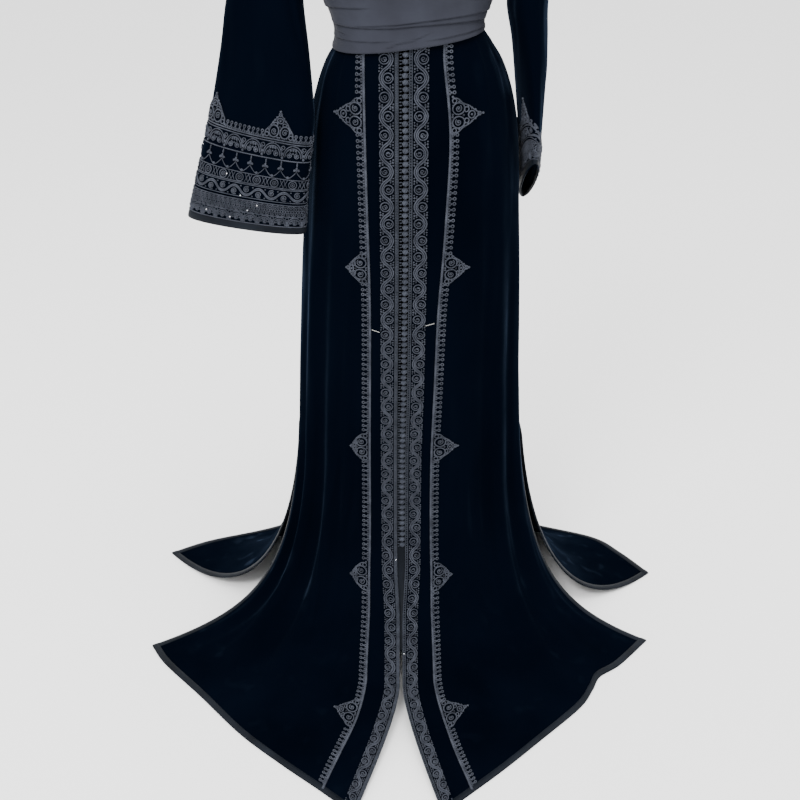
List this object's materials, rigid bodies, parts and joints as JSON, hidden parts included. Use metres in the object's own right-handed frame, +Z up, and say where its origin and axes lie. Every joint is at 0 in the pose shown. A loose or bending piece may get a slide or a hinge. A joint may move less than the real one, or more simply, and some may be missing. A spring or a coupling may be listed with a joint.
{
  "type": "caftan",
  "caption": "Floor-length velvet caftan with an open front edged in braid and knots, bell sleeves, side slits and a pleated waist belt, hanging open and hollow as on a wearer",
  "frame": {"origin": "The middle of the shoulders at the neck opening, where a wearer holds the garment up; the floor that the hem lies on is 1.48 m below it.", "axes": "+X to the wearer's left, -Y to the front of the garment, +Z up."},
  "size_m": [0.976, 0.9181, 1.4974],
  "materials": {
    "velvet": "dense cut pile with a soft sheen",
    "satin": "smooth satin",
    "braid": "twisted silk cord",
    "belt_satin": "matte satin"
  },
  "bodies": {
    "root": {"front_right": "velvet", "front_left": "velvet", "back": "velvet", "sleeve_right": "velvet", "sleeve_left": "velvet", "edge_braid_right": "braid", "edge_braid_left": "braid", "scroll_band_right": "braid", "scroll_band_left": "braid", "loop_lace_right": "braid", "loop_lace_left": "braid", "knot_row": "braid", "neck_braid_back": "braid", "cuff_lace_right": "braid", "cuff_lace_left": "braid", "hem_binding_right": "satin", "hem_binding_left": "satin", "hem_binding_back": "satin", "cuff_binding_right": "satin", "cuff_binding_left": "satin", "belt": "belt_satin"}
  },
  "joints": []
}
